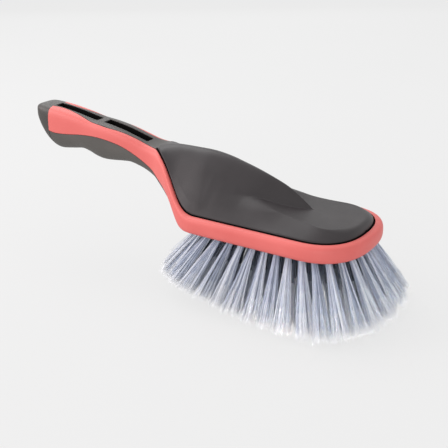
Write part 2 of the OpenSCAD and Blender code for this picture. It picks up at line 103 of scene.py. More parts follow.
top_line = curve([(-151.5, 47.2), (-150.3, 48.5), (-148, 49.3), (-144, 49.5), (-135, 49),
    (-125, 48.1), (-110, 45.8), (-97, 43.4), (-87, 42.5), (-78, 41.2), (-68, 39.2), (-58, 36.6),
    (-48, 33.9), (-42, 32.9), (-37, 32.6)])
bottom_line = curve([(-151.5, 41), (-150, 37.5), (-147.3, 33), (-143.8, 26.8), (-140, 21.6),
    (-135.4, 17.8), (-130, 16), (-120, 17.2), (-108, 18.8), (-100, 17.2), (-94, 15), (-88, 13.9),
    (-80, 14.3), (-70, 15.5), (-62, 16), (-54, 14.6), (-46, 12.2), (-38, 8.2), (-30, 2.6),
    (-20, -4.6), (-12, -9.2), (-5, -11.4), (0, -BUMPER_H)])
side_w = curve([(-151.5, 6), (-150, 8.8), (-147, 11.2), (-142, 12.7), (-135, 13.3), (-120, 13.1),
    (-100, 12.8), (-80, 12.8), (-60, 13), (-46, 13.4), (-37, 14.8), (-30, 17.8), (-24, 21),
    (-16, 26.6), (-10, 31), (-5, 34.6), (0, 37.8), (5, 40.2), (10, 41.5), (15, BUMPER_HALF)])
strip_top_y = curve([(-137, 6.4), (-131, 5.4), (-125, 4.9), (-118, 5.4), (-112, 6.3), (-105, 7.6),
    (-98, 8.9), (-90, 9.6), (-81, 9.8), (-72, 8.9), (-63, 8), (-53, 7.7), (-44, 8.6), (-37, 10.3)])
strip_low_z = curve([(-137, 31.2), (-130, 30), (-120, 30.4), (-105, 32.1), (-95, 32.7),
    (-86, 32.5), (-76, 31.4), (-67, 29.7), (-58, 26.8), (-49, 22.8), (-40, 18.2), (-35, 14.8),
    (-30, 11.6), (-24, 7.8), (-18, 3.8), (-12, -0.7), (-7, -4.9), (-3, -8.3), (1, -10.7),
    (LOW_X, -BUMPER_H)])
groove_side = curve([(-37, 9.4), (-34, 11.3), (-30, 13.8), (-24, 17.2), (-16, 22.4), (-10, 26.8),
    (-5, 30.3), (0, 33.3), (5, 35.4), (10, 36.35), (14, GROOVE_HALF)])
groove_z = curve([(-37, 31.9), (-34, 31.2), (-30, 29), (-24, 24.2), (-16, 16.4), (-10, 11),
    (-5, 6.9), (0, 3.7), (5, 1.4), (10, 0.2), (14, 0)])
crest_line = curve([(-37, 33.4), (-30, 34.4), (-20, 35.2), (-8, 35.4), (6, 35.3), (18, 33.8),
    (28, 31.5), (40, 28.4), (52, 24.7), (64, 20.2), (73, 15), (81.4, 8.8), (90, 2)])
crest_round = curve([(-37, 7), (0, 8), (20, 7), (40, 4.5), (60, 1.6), (80, 0.4)])
ridge_slope = curve([(28, 0.4), (38, 1), (45, 1.2), (64, 1.45), (80, 1.6)])
flank_w = curve([(20, 22), (40, 18), (56, 15.5), (73, 15), (90, 12.5), (107, 7.4), (114, 4.4),
    (118, 2.6), (121, 1.6)])
apron_line = curve([(15, 26), (22, 23.5), (30, 19.5), (40, 15.2), (55, 11.8), (66, 9.5),
    (73.5, 8.4), (90, 7.2), (107, 6.2), (121, 5.3)])
valley_blend = curve([(15, 3), (32, 3), (38, 1.2), (60, 1), (90, 0.8)])
crease_blend = curve([(40, 0.6), (60, 0.25), (68, 0.04), (103, 0.04), (113, 0.35)])


def mix(a, b, t):
    return a + (b - a) * t


def ease(t):
    c = np.clip(t, 0, 1)
    return c * c * (3 - 2 * c)


def smooth_max(a, b, k):
    h = np.maximum(k - abs(a - b), 0) / k
    return np.maximum(a, b) + h * h * k / 4


def smooth_min(a, b, k):
    return -smooth_max(-a, -b, k)


def groove_y(x):
    """The groove line's distance from the middle plane."""
    x = np.asarray(x, float)
    t = np.clip((x - NOSE_START) / NOSE_LEN, 0, 1)
    return np.where(x <= NOSE_START, groove_side(x), GROOVE_HALF * (1 - t ** NOSE_N) ** (1 / NOSE_N))


def nose_point(turn, reach, half):
    """A point round the nose, from beside it (turn 0) to its front (pi / 2)."""
    return (NOSE_START + reach * math.sin(turn) ** (2 / NOSE_N),
            half * abs(math.cos(turn)) ** (2 / NOSE_N))


def head_share(x):
    """0 on the handle, 1 on the head."""
    return ease((x - HOOD_X) / (SIDE_X - HOOD_X))


def power(x, up):
    return mix(np.where(up, TOP_POWER, BELLY_POWER), HEAD_POWER, head_share(x))


def out_of(x, a):
    """How far out angle a lies on the section at x, as a share of its half width."""
    return abs(np.cos(a)) ** (2 / power(x, a > 0))


def up_of(x, a):
    """How far up angle a lies, as a share of the half height."""
    return np.sign(a) * abs(np.sin(a)) ** (2 / power(x, a > 0))


def angle_of_rise(x, rise):
    return np.sign(rise) * np.arcsin(np.minimum(1, abs(rise) ** (power(x, rise > 0) / 2)))


def handle_mid(x):
    return (top_line(x) + bottom_line(x)) / 2


def handle_half(x):
    return (top_line(x) - bottom_line(x)) / 2


def handle_section(x, a):
    """Points on the handle's outline at x, at the angles a."""
    xs = np.full(len(a), x)
    return np.stack([side_w(x) * out_of(xs, a), handle_mid(x) + handle_half(x) * up_of(xs, a)], 1)


def handle_up_angle(x):
    return np.arccos((strip_top_y(x) / side_w(x)) ** (power(x, True) / 2))


def handle_low_angle(x):
    return angle_of_rise(x, (strip_low_z(x) - handle_mid(x)) / handle_half(x))


def up_angle(x):
    """Where the red strip's upper edge is on the section."""
    return mix(handle_up_angle(np.minimum(x, HOOD_X)), EDGE, head_share(x))


def low_angle(x):
    """Where its lower edge is."""
    share = ease((x - HOOD_X) / (LOW_X - HOOD_X))
    return mix(handle_low_angle(np.minimum(x, HOOD_X)), -EDGE, share)


def strip_top_z(x):
    return np.where(x <= HOOD_X, handle_mid(x) + handle_half(x) * up_of(x, up_angle(x)), groove_z(x))


def strip_edge_y(x):
    return np.where(x <= HOOD_X, strip_top_y(x), groove_y(x) + GROOVE_W / 2)


def strip_half(x):
    rise = up_of(x, up_angle(x)) - up_of(x, low_angle(x))
    return np.where(x <= HOOD_X, handle_half(x), (strip_top_z(x) - strip_low_z(x)) / rise)


def strip_mid(x):
    return np.where(x <= HOOD_X, handle_mid(x), strip_top_z(x) - strip_half(x) * up_of(x, up_angle(x)))


def strip_base(x):
    """How far from the middle plane the strip's section starts."""
    c = out_of(x, up_angle(x))
    return np.where(x <= HOOD_X, 0, (strip_edge_y(x) - side_w(x) * c) / (1 - c))


def strip_out(x, a):
    """A point (y, z) on the strip's outer face."""
    base = strip_base(x)
    return np.array([base + (side_w(x) - base) * out_of(x, a),
                     strip_mid(x) + strip_half(x) * up_of(x, a)])


def strip_in(x, a):
    """A point on its inner face."""
    base = strip_base(x)
    full = side_w(x) - base
    reach = full - mix(SKIN, full, head_share(x))
    half = strip_half(x) - SKIN * (1 - head_share(x))
    return np.array([base + reach * out_of(x, a), strip_mid(x) + half * up_of(x, a)])


def under_angle(x):
    return np.minimum(handle_low_angle(np.minimum(x, HOOD_X)), GRIP_EDGE)


def under_point(x, a, inset=0.0):
    """A point on the handle's underside, or this far inside it."""
    xs = np.minimum(x, HOOD_X)
    edge = strip_out(x, low_angle(x))
    lift = up_of(HOOD_X, under_angle(x))
    half = np.where(x <= HOOD_X, handle_half(x), (edge[1] - bottom_line(x)) / (1 + lift))
    reach = np.where(x <= HOOD_X, side_w(x), edge[0] / out_of(HOOD_X, under_angle(x)))
    return np.array([(reach - inset) * out_of(xs, a),
                     bottom_line(x) + half + np.maximum(0.02, half - inset) * up_of(xs, a)])


# ---------------------------------------------------------------- mesh helpers
def piece(name, verts, faces, material, body="root"):
    me = bpy.data.meshes.new(name)
    me.from_pydata([tuple(v) for v in verts], [], faces)
    me.validate()
    me.update()
    ob = bpy.data.objects.new(name, me)
    bpy.context.collection.objects.link(ob)
    for m in material if isinstance(material, (list, tuple)) else [material]:
        me.materials.append(m)
    me.shade_smooth()
    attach(ob, body)
    return ob


def placed(points):
    """Points of a moulding in millimetres, put into the frame in metres."""
    p = np.asarray(points, float).reshape(-1, 3) * MM
    p[:, 2] += HEAD_Z * MM
    return p + np.array(SHIFT)


def loft(name, rings, material):
    """A closed skin through rings with the same number of points."""
    rings = np.asarray(rings, float)
    rows, n = rings.shape[:2]
    faces = []
    for a in range(0, (rows - 1) * n, n):
        for i in range(n):
            j = (i + 1) % n
            faces.append((a + i, a + n + i, a + n + j, a + j))
    faces.append(tuple(range(n)))
    faces.append(tuple((rows - 1) * n + i for i in reversed(range(n))))
    return piece(name, placed(rings), faces, material)


def fix_normals(ob):
    """Joins doubled points, drops faces without area and turns all faces outwards."""
    bm = bmesh.new()
    bm.from_mesh(ob.data)
    bmesh.ops.remove_doubles(bm, verts=bm.verts, dist=2e-6)
    bmesh.ops.dissolve_degenerate(bm, dist=1e-7, edges=bm.edges)
    bmesh.ops.recalc_face_normals(bm, faces=bm.faces)
    for f in bm.faces:
        f.smooth = True
    bm.to_mesh(ob.data)
    bm.free()
    return ob


def sharp_by_angle(ob, degrees):
    """Marks the edges that turn more than this, so that shading breaks there."""
    ob.data.set_sharp_from_angle(angle=math.radians(degrees))


# ---------------------------------------------------------------- materials
def material(name, base, rough, build, **sockets):
    m = bpy.data.materials.new(name)
    m.use_nodes = True
    nt = m.node_tree
    p = nt.nodes["Principled BSDF"]
    p.inputs["Base Color"].default_value = (*base, 1)
    p.inputs["Roughness"].default_value = rough
    for k, v in sockets.items():
        p.inputs[k.replace("_", " ")].default_value = v
    build(nt, p)
    return m


def node(nt, kind, **values):
    n = nt.nodes.new(kind)
    for k, v in values.items():
        n.inputs[k.replace("_", " ")].default_value = v
    return n


def noise(nt, scale, detail, rough=0.55):
    n = node(nt, "ShaderNodeTexNoise", Scale=scale, Detail=detail, Roughness=rough)
    where = nt.nodes.new("ShaderNodeTexCoord").outputs["Object"]
    nt.links.new(where, n.inputs["Vector"])
    return n.outputs["Fac"]


def ramp(nt, fac, low, high):
    """From one colour to the other over the middle of the noise's range."""
    r = nt.nodes.new("ShaderNodeValToRGB")
    for e, position, colour in zip(r.color_ramp.elements, (0.3, 0.7), (low, high)):
        e.position = position
        e.color = (*colour, 1)
    nt.links.new(fac, r.inputs["Fac"])
    return r.outputs["Color"]


def span(nt, fac, lo, hi):
    r = node(nt, "ShaderNodeMapRange", To_Min=lo, To_Max=hi)
    nt.links.new(fac, r.inputs["Value"])
    return r.outputs["Result"]


def bump(nt, p, layers):
    """Adds height layers, each (noise, strength, distance in metres)."""
    last = None
    for grain, strength, distance in layers:
        b = node(nt, "ShaderNodeBump", Strength=strength, Distance=distance)
        nt.links.new(noise(nt, *grain), b.inputs["Height"])
        if last is not None:
            nt.links.new(last, b.inputs["Normal"])
        last = b.outputs["Normal"]
    nt.links.new(last, p.inputs["Normal"])


def surface(tints, tint_noise, rough, rough_noise, layers=()):
    """Two tints, a range of roughness and height layers, each over its own noise."""
    def build(nt, p):
        nt.links.new(ramp(nt, noise(nt, *tint_noise), *tints), p.inputs["Base Color"])
        nt.links.new(span(nt, noise(nt, *rough_noise), *rough), p.inputs["Roughness"])
        if layers:
            bump(nt, p, layers)
    return build


def plastic(tints, rough, grain, depth):
    """Moulded plastic with a fine grain of this scale and depth."""
    return surface(tints, (28, 4), rough, (90, 5, 0.6),
                   [((grain, 2, 0.6), 0.35, depth), ((60, 2), 0.05, 0.0004)])


def filament(name, base, rough):
    """Drawn plastic filament; each tint is one material, and pieces mix several."""
    def build(nt, p):
        nt.links.new(span(nt, noise(nt, 500, 3), rough - 0.08, rough + 0.08), p.inputs["Roughness"])
        bump(nt, p, [((2400, 2), 0.2, 0.00003)])
    return material(name, base, rough, build, IOR=1.5)


hood_mat = material(
    "hood_plastic", (0.03, 0.028, 0.029), 0.42,
    plastic([(0.028, 0.024, 0.0255), (0.039, 0.034, 0.036)], (0.38, 0.5), 2600, 0.00008),
    IOR=1.48, Specular_IOR_Level=0.34)
core_mat = material(
    "core_plastic", (0.045, 0.04, 0.037), 0.4,
    plastic([(0.040, 0.035, 0.032), (0.056, 0.050, 0.046)], (0.4, 0.54), 2200, 0.00007),
    IOR=1.48)
block_mat = material(
    "block_plastic", (0.02, 0.02, 0.022), 0.5,
    plastic([(0.014, 0.014, 0.015), (0.022, 0.022, 0.024)], (0.45, 0.6), 1800, 0.00006))
# Painted shade: a near-black for the groove walls, the head plate and the pockets' insides, where shade
# falls.
shadow_mat = material(
    "painted_recess_shade", (0.003, 0.003, 0.003), 0.85,
    plastic([(0.002, 0.002, 0.002), (0.005, 0.0045, 0.0045)], (0.8, 0.9), 1800, 0.00004),
    Specular_IOR_Level=0.1)
red_mat = material(
    "bumper_rubber", (0.78, 0.15, 0.13), 0.5,
    surface([(0.64, 0.112, 0.100), (0.71, 0.143, 0.130)], (22, 4), (0.44, 0.56), (70, 4),
            [((3200, 2), 0.3, 0.00005), ((120, 3), 0.06, 0.0003)]), IOR=1.5)
grip_mat = material(
    "grip_rubber", (0.08, 0.073, 0.067), 0.65,
    surface([(0.070, 0.064, 0.058), (0.088, 0.081, 0.074)], (30, 4), (0.58, 0.72), (80, 4),
            [((1500, 3), 0.4, 0.0001), ((90, 3), 0.08, 0.0005)]))
wire_mat = material(
    "anchor_wire", (0.75, 0.58, 0.28), 0.35,
    surface([(0.62, 0.45, 0.2), (0.8, 0.62, 0.3)], (400, 3), (0.25, 0.45), (900, 3)),
    Metallic=1.0)

# The bristle tints from dark to light, for the strands' upper, middle and last parts, and a dark
# painted-shade tint for the inner rings' roots.
BRISTLE = [
    filament("bristle_shaft_a", (0.38, 0.43, 0.56), 0.4),
    filament("bristle_shaft_b", (0.58, 0.63, 0.77), 0.4),
    filament("bristle_shaft_c", (0.76, 0.80, 0.90), 0.4),
    filament("bristle_middle_a", (0.48, 0.53, 0.65), 0.42),
    filament("bristle_middle_b", (0.68, 0.73, 0.84), 0.42),
    filament("bristle_middle_c", (0.84, 0.87, 0.94), 0.42),
    filament("bristle_tip_a", (0.66, 0.70, 0.79), 0.5),
    filament("bristle_tip_b", (0.84, 0.86, 0.91), 0.55),
    filament("bristle_tip_c", (0.93, 0.94, 0.96), 0.6),
    filament("bristle_root_shade", (0.10, 0.11, 0.14), 0.5)]
SHAFT, MIDDLE, TIP, ROOT_SHADE = 0, 3, 6, 9      # where each kind starts in BRISTLE

# ---------------------------------------------------------------- rubber bumper
SOFT = 0.55                         # round of the bumper's edges
SECTION_OUT, SECTION_IN = 34, 12    # points on the section's outer and inner faces
GROOVE_SHADE_WALL = range(40, 51)         # those of its faces that stand in the groove


def corner(p0, c, p2, n=4):
    t = np.linspace(0, 1, n + 2)[1:-1, None]
    return (1 - t) ** 2 * p0 + 2 * t * (1 - t) * c + t * t * p2


def step(start, end):
    """The point where a corner's round ends on the way from start to end."""
    way = end - start
    length = np.linalg.norm(way)
    return start + way / max(1e-6, length) * min(SOFT, 0.4 * length)


def strip_ring(x):
    lo, up = float(low_angle(x)), float(up_angle(x))
    arc = strip_out(np.full(200, x), np.linspace(lo, up, 200)).T
    run = np.concatenate([[0], np.cumsum(np.linalg.norm(np.diff(arc, axis=0), axis=1))])
    s = np.linspace(SOFT, run[-1] - SOFT, SECTION_OUT)
    outer = np.stack([np.interp(s, run, arc[:, 0]), np.interp(s, run, arc[:, 1])], 1)
    back = strip_in(np.full(SECTION_IN, x), np.linspace(up, lo, SECTION_IN)).T
    top = step(arc[-1], back[0])
    low = step(arc[0], back[-1])
    return np.concatenate([outer, corner(outer[-1], arc[-1], top), [top], back, [low],
                           corner(low, arc[0], outer[0])])


def nose_sweep(ring, turn):
    """The section carried round the nose, wider ahead than at the sides."""
    inner = GROOVE_HALF + GROOVE_W / 2
    out = (ring[:, 0] - inner) / (BUMPER_HALF - inner)
    reach = mix(NOSE_LEN + GROOVE_W / 2, BUMPER_NOSE, out)
    c, s = math.cos(turn), math.sin(turn)
    return np.stack([NOSE_START + reach * s ** (2 / NOSE_N),
                     ring[:, 0] * math.copysign(abs(c) ** (2 / NOSE_N), c), ring[:, 1]], 1)


def make_bumper():
    xs = np.concatenate([np.linspace(STRIP_X, HOOD_X, 90), np.linspace(HOOD_X + 0.5, SIDE_X + 6, 70),
                         np.linspace(20, NOSE_START - 2, 24)])
    sections = [strip_ring(x) for x in xs]
    mid = sections[0].mean(0)
    left = []
    for f in (1, 0.75, 0.5, 0.25):   # round the strip's rear end
        ring = mid + (sections[0] - mid) * (1 - 0.035 * f * f)
        left.append(np.column_stack([np.full(len(ring), STRIP_X - 0.45 * math.sin(f * math.pi / 2)), ring]))
    left += [np.column_stack([np.full(len(ring), x), ring]) for x, ring in zip(xs, sections)]
    nose_ring = strip_ring(NOSE_START)
    front = [nose_sweep(nose_ring, t) for t in np.linspace(0, math.pi, 97)]
    right = [ring * np.array([1, -1, 1]) for ring in reversed(left)]
    rings = left + front + right
    ob = loft("bumper_skin", rings, [red_mat, shadow_mat])
    n = len(rings[0])
    # painted shade: the faces standing in the groove get the near-black shade material
    for k, poly in enumerate(ob.data.polygons):
        if k % n in GROOVE_SHADE_WALL and k < n * (len(rings) - 1):
            poly.material_index = 1
    return ob


bumper = fix_normals(make_bumper())
sharp_by_angle(bumper, 50)
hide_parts("rubber_bumper")

# ---------------------------------------------------------------- finger grip
GRIP_OUT, GRIP_IN = 30, 12     # points on half the section's outer and inner faces
GRIP_ROUND = 0.45              # its end edges
GRIP_LOW = 0.12                # it hangs this far below the handle's outline


def make_grip():
    rings = []
    rear, front = STRIP_X + GAP, GRIP_END - GAP
    xs = np.concatenate([[rear, STRIP_X + 0.25, STRIP_X + 0.6],
                         np.linspace(STRIP_X + 1, GRIP_END - 0.6, 120), [GRIP_END - 0.35, front]])
    for x in xs:
        top = float(under_angle(x))
        end = min(1, min(x - STRIP_X - GAP, GRIP_END - GAP - x) / 0.5)
        sink = GRIP_ROUND * (1 - math.sqrt(max(0, 1 - (1 - end) ** 2)))
        half = under_point(np.full(GRIP_OUT, x), np.linspace(-math.pi / 2, top, GRIP_OUT), sink).T
        deep = under_point(np.full(GRIP_IN, x), np.linspace(top, -math.pi / 2, GRIP_IN), SKIN).T
        left_half, left_deep = half * np.array([-1, 1]), deep * np.array([-1, 1])
        ring = np.concatenate([left_half[::-1][:-1], half, deep, left_deep[::-1][1:]])
        ring[:, 1] -= GRIP_LOW
        rings.append(np.column_stack([np.full(len(ring), x), ring]))
    return loft("grip_skin", rings, grip_mat)


grip = fix_normals(make_grip())
sharp_by_angle(grip, 50)
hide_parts("finger_grip")

# ---------------------------------------------------------------- handle core
POCKETS = [(-135.2, -94.6), (-88.4, -48.8)]
POCKET_HALF, POCKET_R, POCKET_DEEP = 4.0, 0.8, 15.0
POCKET_RIM = 0.45                   # round of its upper edge
POCKETS_ABOVE = 21.0                # the pockets' floors lie above this, the handle's underside below
TOP_Y = [0, 0.8, 1.6, 2.4, 3.0, 3.3, 3.55, 3.7, 3.8, 3.88, 3.94, 3.97, 3.985, 4.0,
         4.03, 4.07, 4.12, 4.2, 4.3, 4.4, 4.46]     # points across the top, close at a pocket's wall
REST_N, CORE_N = 8, 24              # points from there to the strip, and on each face below


def pocket_depth(x, y):
    """How far the pockets sink the handle's top, with a small round at the rim."""
    deep = np.zeros_like(y)
    for a, b in POCKETS:
        cx, hx = (a + b) / 2, (b - a) / 2
        qx = abs(x - cx) - hx + POCKET_R
        qy = abs(y) - POCKET_HALF + POCKET_R
        past = np.hypot(np.maximum(qx, 0), np.maximum(qy, 0)) + np.minimum(np.maximum(qx, qy), 0) - POCKET_R
        t = np.clip((POCKET_RIM - past) / POCKET_RIM, 0, 1)
        fillet = POCKET_RIM * (1 - np.sqrt(np.maximum(0, 1 - t * t)))
        floor = POCKET_DEEP - (top_line(cx) - top_line(x))
        inside = floor - 0.35 * np.clip(1 + (past + 0.02) / 0.6, 0, 1)
        deep = np.maximum(deep, np.where(past < -0.02, inside, fillet))
    return deep


def handle_top_at(x, y):
    share = np.maximum(0, 1 - (abs(y) / side_w(x)) ** TOP_POWER) ** (1 / TOP_POWER)
    return handle_mid(x) + handle_half(x) * share


def core_top(x):
    """Points from the middle line out to the strip."""
    edge = float(strip_edge_y(max(x, STRIP_X))) - GAP
    return np.concatenate([TOP_Y, np.linspace(TOP_Y[-1], max(4.5, edge), REST_N + 1)[1:]])


def core_ring(x):
    """The core's section: its top with the pockets, its sides and its underside."""
    ys = core_top(x)
    if x < STRIP_X:
        ys = ys * min(1, float(side_w(x)) * 0.9 / float(side_w(STRIP_X)))
        zs = handle_top_at(x, ys) - pocket_depth(x, ys)
        start = math.acos(min(1, (ys[-1] / float(side_w(x))) ** (TOP_POWER / 2)))
        side = handle_section(x, np.linspace(start - 0.03, 0, CORE_N))
        low = handle_section(x, np.linspace(0, -math.pi / 2, CORE_N + 1)[1:])
    else:
        if x <= HOOD_X:
            zs = handle_top_at(x, ys) - pocket_depth(x, ys)
        else:
            ys = np.linspace(0, 1, len(ys)) * float(strip_in(x, up_angle(x))[0] - GAP)
            zs = np.full(len(ys), float(groove_z(x)) - PLATE_TOP)
        xs = np.full(CORE_N, x)
        inset = SKIN + GAP if x < GRIP_END else 0.0
        low = under_point(xs, np.linspace(float(under_angle(x)), -math.pi / 2, CORE_N + 1)[1:], inset).T
        side = strip_in(xs, np.linspace(float(up_angle(x)), float(low_angle(x)), CORE_N)).T
        side[:, 0] -= GAP
        side[:, 1] = np.minimum(side[:, 1], zs[-1] - 0.4)
    right = np.concatenate([np.column_stack([ys, zs]), side, low])
    left = (right * np.array([-1, 1]))[1:-1][::-1]
    ring = np.concatenate([right, left])
    return np.column_stack([np.full(len(ring), x), ring])


def pocket_shade_at(x, y, z):
    """True more than 1.2 mm down a pocket, where the faces get painted shade."""
    over = abs(y) < POCKET_HALF + 0.1 and any(a - 0.1 < x < b + 0.1 for a, b in POCKETS)
    return over and z > POCKETS_ABOVE and float(handle_top_at(x, y)) - z > 1.2


def make_core():
    tail = TAIL_X + np.array([0.0, 0.15, 0.4, 0.8, 1.4, 2.2, 3.2, 4.4, 5.8, 7.4, 9.0, 10.6, 12.0])
    tail = np.concatenate([tail, np.linspace(-138.6, STRIP_X - 0.5, 4)[:3],
                           [STRIP_X - 0.55, STRIP_X - 0.5]])
    near = np.array([-0.6, -0.45, -0.35, -0.25, -0.15, -0.08, -0.03, 0, 0.03, 0.1, 0.2, 0.35,
                     0.5, 0.7, 0.9, 1.1, 1.3, 1.5])     # close together at a pocket's end walls
    fine = np.concatenate([np.concatenate([a + near, b - near]) for a, b in POCKETS])
    body = np.linspace(STRIP_X, HOOD_X, 110)
    neck = np.concatenate([np.linspace(HOOD_X + 0.6, GRIP_END - 0.05, 14),
                           np.linspace(GRIP_END + 0.05, BLOCK_X, 20)])
    xs = np.unique(np.round(np.concatenate([tail, body, fine, neck]), 3))
    rings = [core_ring(float(x)) for x in xs]
    mid = rings[0].mean(0)
    end = []
    for f in (0.12, 0.35, 0.6, 0.8, 0.93):      # the tail's domed end
        ring = mid + (rings[0] - mid) * f
        ring[:, 0] = TAIL_X - 0.9 * math.sqrt(max(0, 1 - f * f))
        end.append(ring)
    ob = loft("core_body", end + rings, [core_mat, shadow_mat])
    # painted shade on the pockets' insides
    for poly in ob.data.polygons:
        x, y, z = (poly.center - SHIFT) / MM
        if pocket_shade_at(x, y, z - HEAD_Z):
            poly.material_index = 1
    return ob


core = fix_normals(make_core())
sharp_by_angle(core, 40)

PLATE_OUT = 0.6                     # how far the plate reaches past the groove line


def make_plate():
    """The head plate under the hood; its rim is the floor of the groove. All of it gets painted shade."""
    xs = np.concatenate([np.linspace(BLOCK_X, 14, 12), [30, 50, 70]])
    half = [(x, float(groove_y(x)) + PLATE_OUT) for x in xs]
    half += [nose_point(t, NOSE_LEN + PLATE_OUT, GROOVE_HALF + PLATE_OUT)
             for t in np.linspace(0, math.pi / 2, 40)]
    loop = half + [(x, -y) for x, y in half[-2::-1]]
    n = len(loop)
    verts = [(x, y, -PLATE_TOP) for x, y in loop] + [(x, y, -PLATE_LOW) for x, y in loop]
    faces = [tuple(range(n)), tuple(n + i for i in reversed(range(n)))]
    faces += [(i, n + i, n + (i + 1) % n, (i + 1) % n) for i in range(n)]
    return piece("core_plate", placed(verts), faces, shadow_mat)


plate = fix_normals(make_plate())
sharp_by_angle(plate, 40)
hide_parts("handle_core")

# ---------------------------------------------------------------- hood
HOOD_REACH, HOOD_HALF = NOSE_LEN - GROOVE_W / 2, GROOVE_HALF - GROOVE_W / 2
HOOD_ROUND, ROUND_N = 0.6, 7        # round of its edge, and the points on it
HOOD_WALL = 1.2
FOLD_X, FOLD_Y, FOLD_SWEEP = 5, 8, 0.35     # the fold's place and how fast it runs forwards
FOLD_SLOPE, FOLD_STEP, FOLD_LEN = 0.0097, 0.07, 5   # how the ridge's sides steepen past it
FAN_RUN = 14                        # the nose's rows start on this much of the middle line
ACROSS = 70                         # points across one half


def from_edge(x, y):
    """How far in a point lies from the hood's edge."""
    dx = np.maximum(x - NOSE_START, 0)
    r = np.hypot(dx, y)
    q = ((dx / HOOD_REACH) ** NOSE_N + (abs(y) / HOOD_HALF) ** NOSE_N) ** (1 / NOSE_N)
    nose = np.where(q < 1e-3, HOOD_HALF, r / np.maximum(q, 1e-3) - r)
    return np.where(x <= NOSE_START, groove_y(x) - GROOVE_W / 2 - abs(y), np.maximum(0, nose))


def flank_z(x, y):
    """The sloping side faces and the flat front facet."""
    base = groove_z(x) + LIP
    return base + (apron_line(x) - base) * smooth_min(from_edge(x, y) / flank_w(x), 1, crease_blend(x))


def past_fold(x, y):
    """How far a point lies past the soft fold across the neck."""
    t = x - FOLD_X - FOLD_SWEEP * (abs(y) - FOLD_Y)
    return (t + np.sqrt(t * t + 4)) / 2


def ridge_z(x, y):
    """The rounded ridge along the middle."""
    c = crest_round(x)
    e = groove_y(np.minimum(x, NOSE_START)) - GROOVE_W / 2
    t = past_fold(x, y)
    fall = (crest_line(x) - groove_z(x) - LIP) / (np.hypot(e, c) - c)
    fall = fall + FOLD_SLOPE * t + FOLD_STEP * (1 - np.exp(-t / FOLD_LEN))
    return crest_line(x) - smooth_max(fall, ridge_slope(x), 0.2) * (np.hypot(y, c) - c)


def hood_z(x, y):
    """The hood's top, with a rounded valley between the two."""
    k = np.minimum(valley_blend(x), 0.7 * np.maximum(0, from_edge(x, y)) + 0.05)
    return smooth_max(flank_z(x, y), ridge_z(x, y), k)


def hood_row(start, end):
    """Points from the middle line out to the edge, over its round and down its wall."""
    (sx, sy), (ex, ey) = start, end
    length = math.hypot(ex - sx, ey - sy)
    turns = np.linspace(0, math.pi / 2, ROUND_N)[1:]
    inward = 1 - HOOD_ROUND / length * (1 - np.sin(turns))
    u = np.concatenate([np.linspace(0, 1 - HOOD_ROUND / length, ACROSS), inward])
    px, py = sx + (ex - sx) * u, sy + (ey - sy) * u
    z = hood_z(px, py)
    z[ACROSS:] -= HOOD_ROUND * (1 - np.cos(turns))
    rear = (sx - HOOD_X) / HOOD_ROUND
    if rear < 1:
        z = z - HOOD_ROUND * (1 - math.sqrt(max(0, 1 - (1 - rear) ** 2)))
    foot = [ex, ey, float(groove_z(ex)) - HOOD_DROP]
    return np.concatenate([np.stack([px, py, z], 1), [foot]])


def make_hood():
    xs = np.concatenate([HOOD_X + np.array([0.0, 0.15, 0.35, 0.6, 0.9, 1.3]),
                         np.linspace(HOOD_X + 2, NOSE_START, 150)])
    rows = [hood_row((x, 0.0), (x, float(groove_y(x)) - GROOVE_W / 2)) for x in xs]
    for t in np.linspace(0, math.pi / 2, 81)[1:]:
        start = (NOSE_START + FAN_RUN * math.sin(t), 0.0)
        rows.append(hood_row(start, nose_point(t, HOOD_REACH, HOOD_HALF)))
    wall = rows[0].copy()      # a small wall across the rear
    wall[:, 2] = np.minimum(wall[:, 2], float(groove_z(HOOD_X)) - HOOD_DROP)
    half = np.array([wall] + rows)
    n, m = half.shape[:2]
    verts = np.concatenate([half.reshape(-1, 3), (half * np.array([1, -1, 1])).reshape(-1, 3)])
    faces = []
    for i in range(n - 1):
        for j in range(m - 1):
            p = i * m + j
            faces.append((p, p + m, p + m + 1, p + 1))
            q = n * m + p
            faces.append((q, q + 1, q + m + 1, q + m))
    ob = piece("hood_skin", placed(verts), faces, [hood_mat, shadow_mat])
    # painted shade on the hood's outer wall in the groove
    for k, poly in enumerate(ob.data.polygons):
        if (k // 2) % (m - 1) == m - 2:      # the outer wall, in the groove
            poly.material_index = 1
    return fix_normals(ob)


hood = make_hood()
wall = hood.modifiers.new("wall", "SOLIDIFY")
wall.thickness = HOOD_WALL * MM
wall.offset = -1
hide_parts("hood")

# ---------------------------------------------------------------- bristle tufts
PITCH = 8.1                         # between rings, at the roots
FAN_X, FAN_Y, FAN_MID = 0.0126, 0.0158, 62.5        # slope for each millimetre off FAN_MID
FAN_FRONT, FAN_REAR = 0.84, 1.08    # factors on the slope along X
ROOT_R, TIP_R = 2.1, 6.4            # radius of a tuft
REAR_ARC = (34, -26, 3)             # middle, reach and power of the outer ring's rear end
NOSE_ARC = (NOSE_START, 27, NOSE_N)         # and of its front
REAR_CUT, FRONT_CUT = 8, 1.5        # how much shorter the tufts are at the rear and the nose
REAR_FROM, REAR_OVER = 22, 75       # along X, where the rear cut starts to fade and over how far
NOSE_FROM, NOSE_OVER = 95, 20       # and where the front cut sets in
CLUMPS = 16                         # in a tuft
STEPS = np.array([-0.02, 0.2, 0.45, 0.68, 0.86])    # a strand's points, as shares of its length
STRAND_R = [0.17, 0.17, 0.165, 0.16, 0.135]         # its radius at them
FLAG_R = [0.1, 0.075, 0.03]         # radius of a flagged end's branch
SIDES = 3                           # of a strand's tube
# Each ring: its name, tufts on a side, longest free length and strands in a tuft.
RINGS = [("outer", 18, 52.5, 200), ("second", 15, 53.0, 150), ("third", 11, 100.0, 90),
         ("inner", 8, 100.0, 70)]


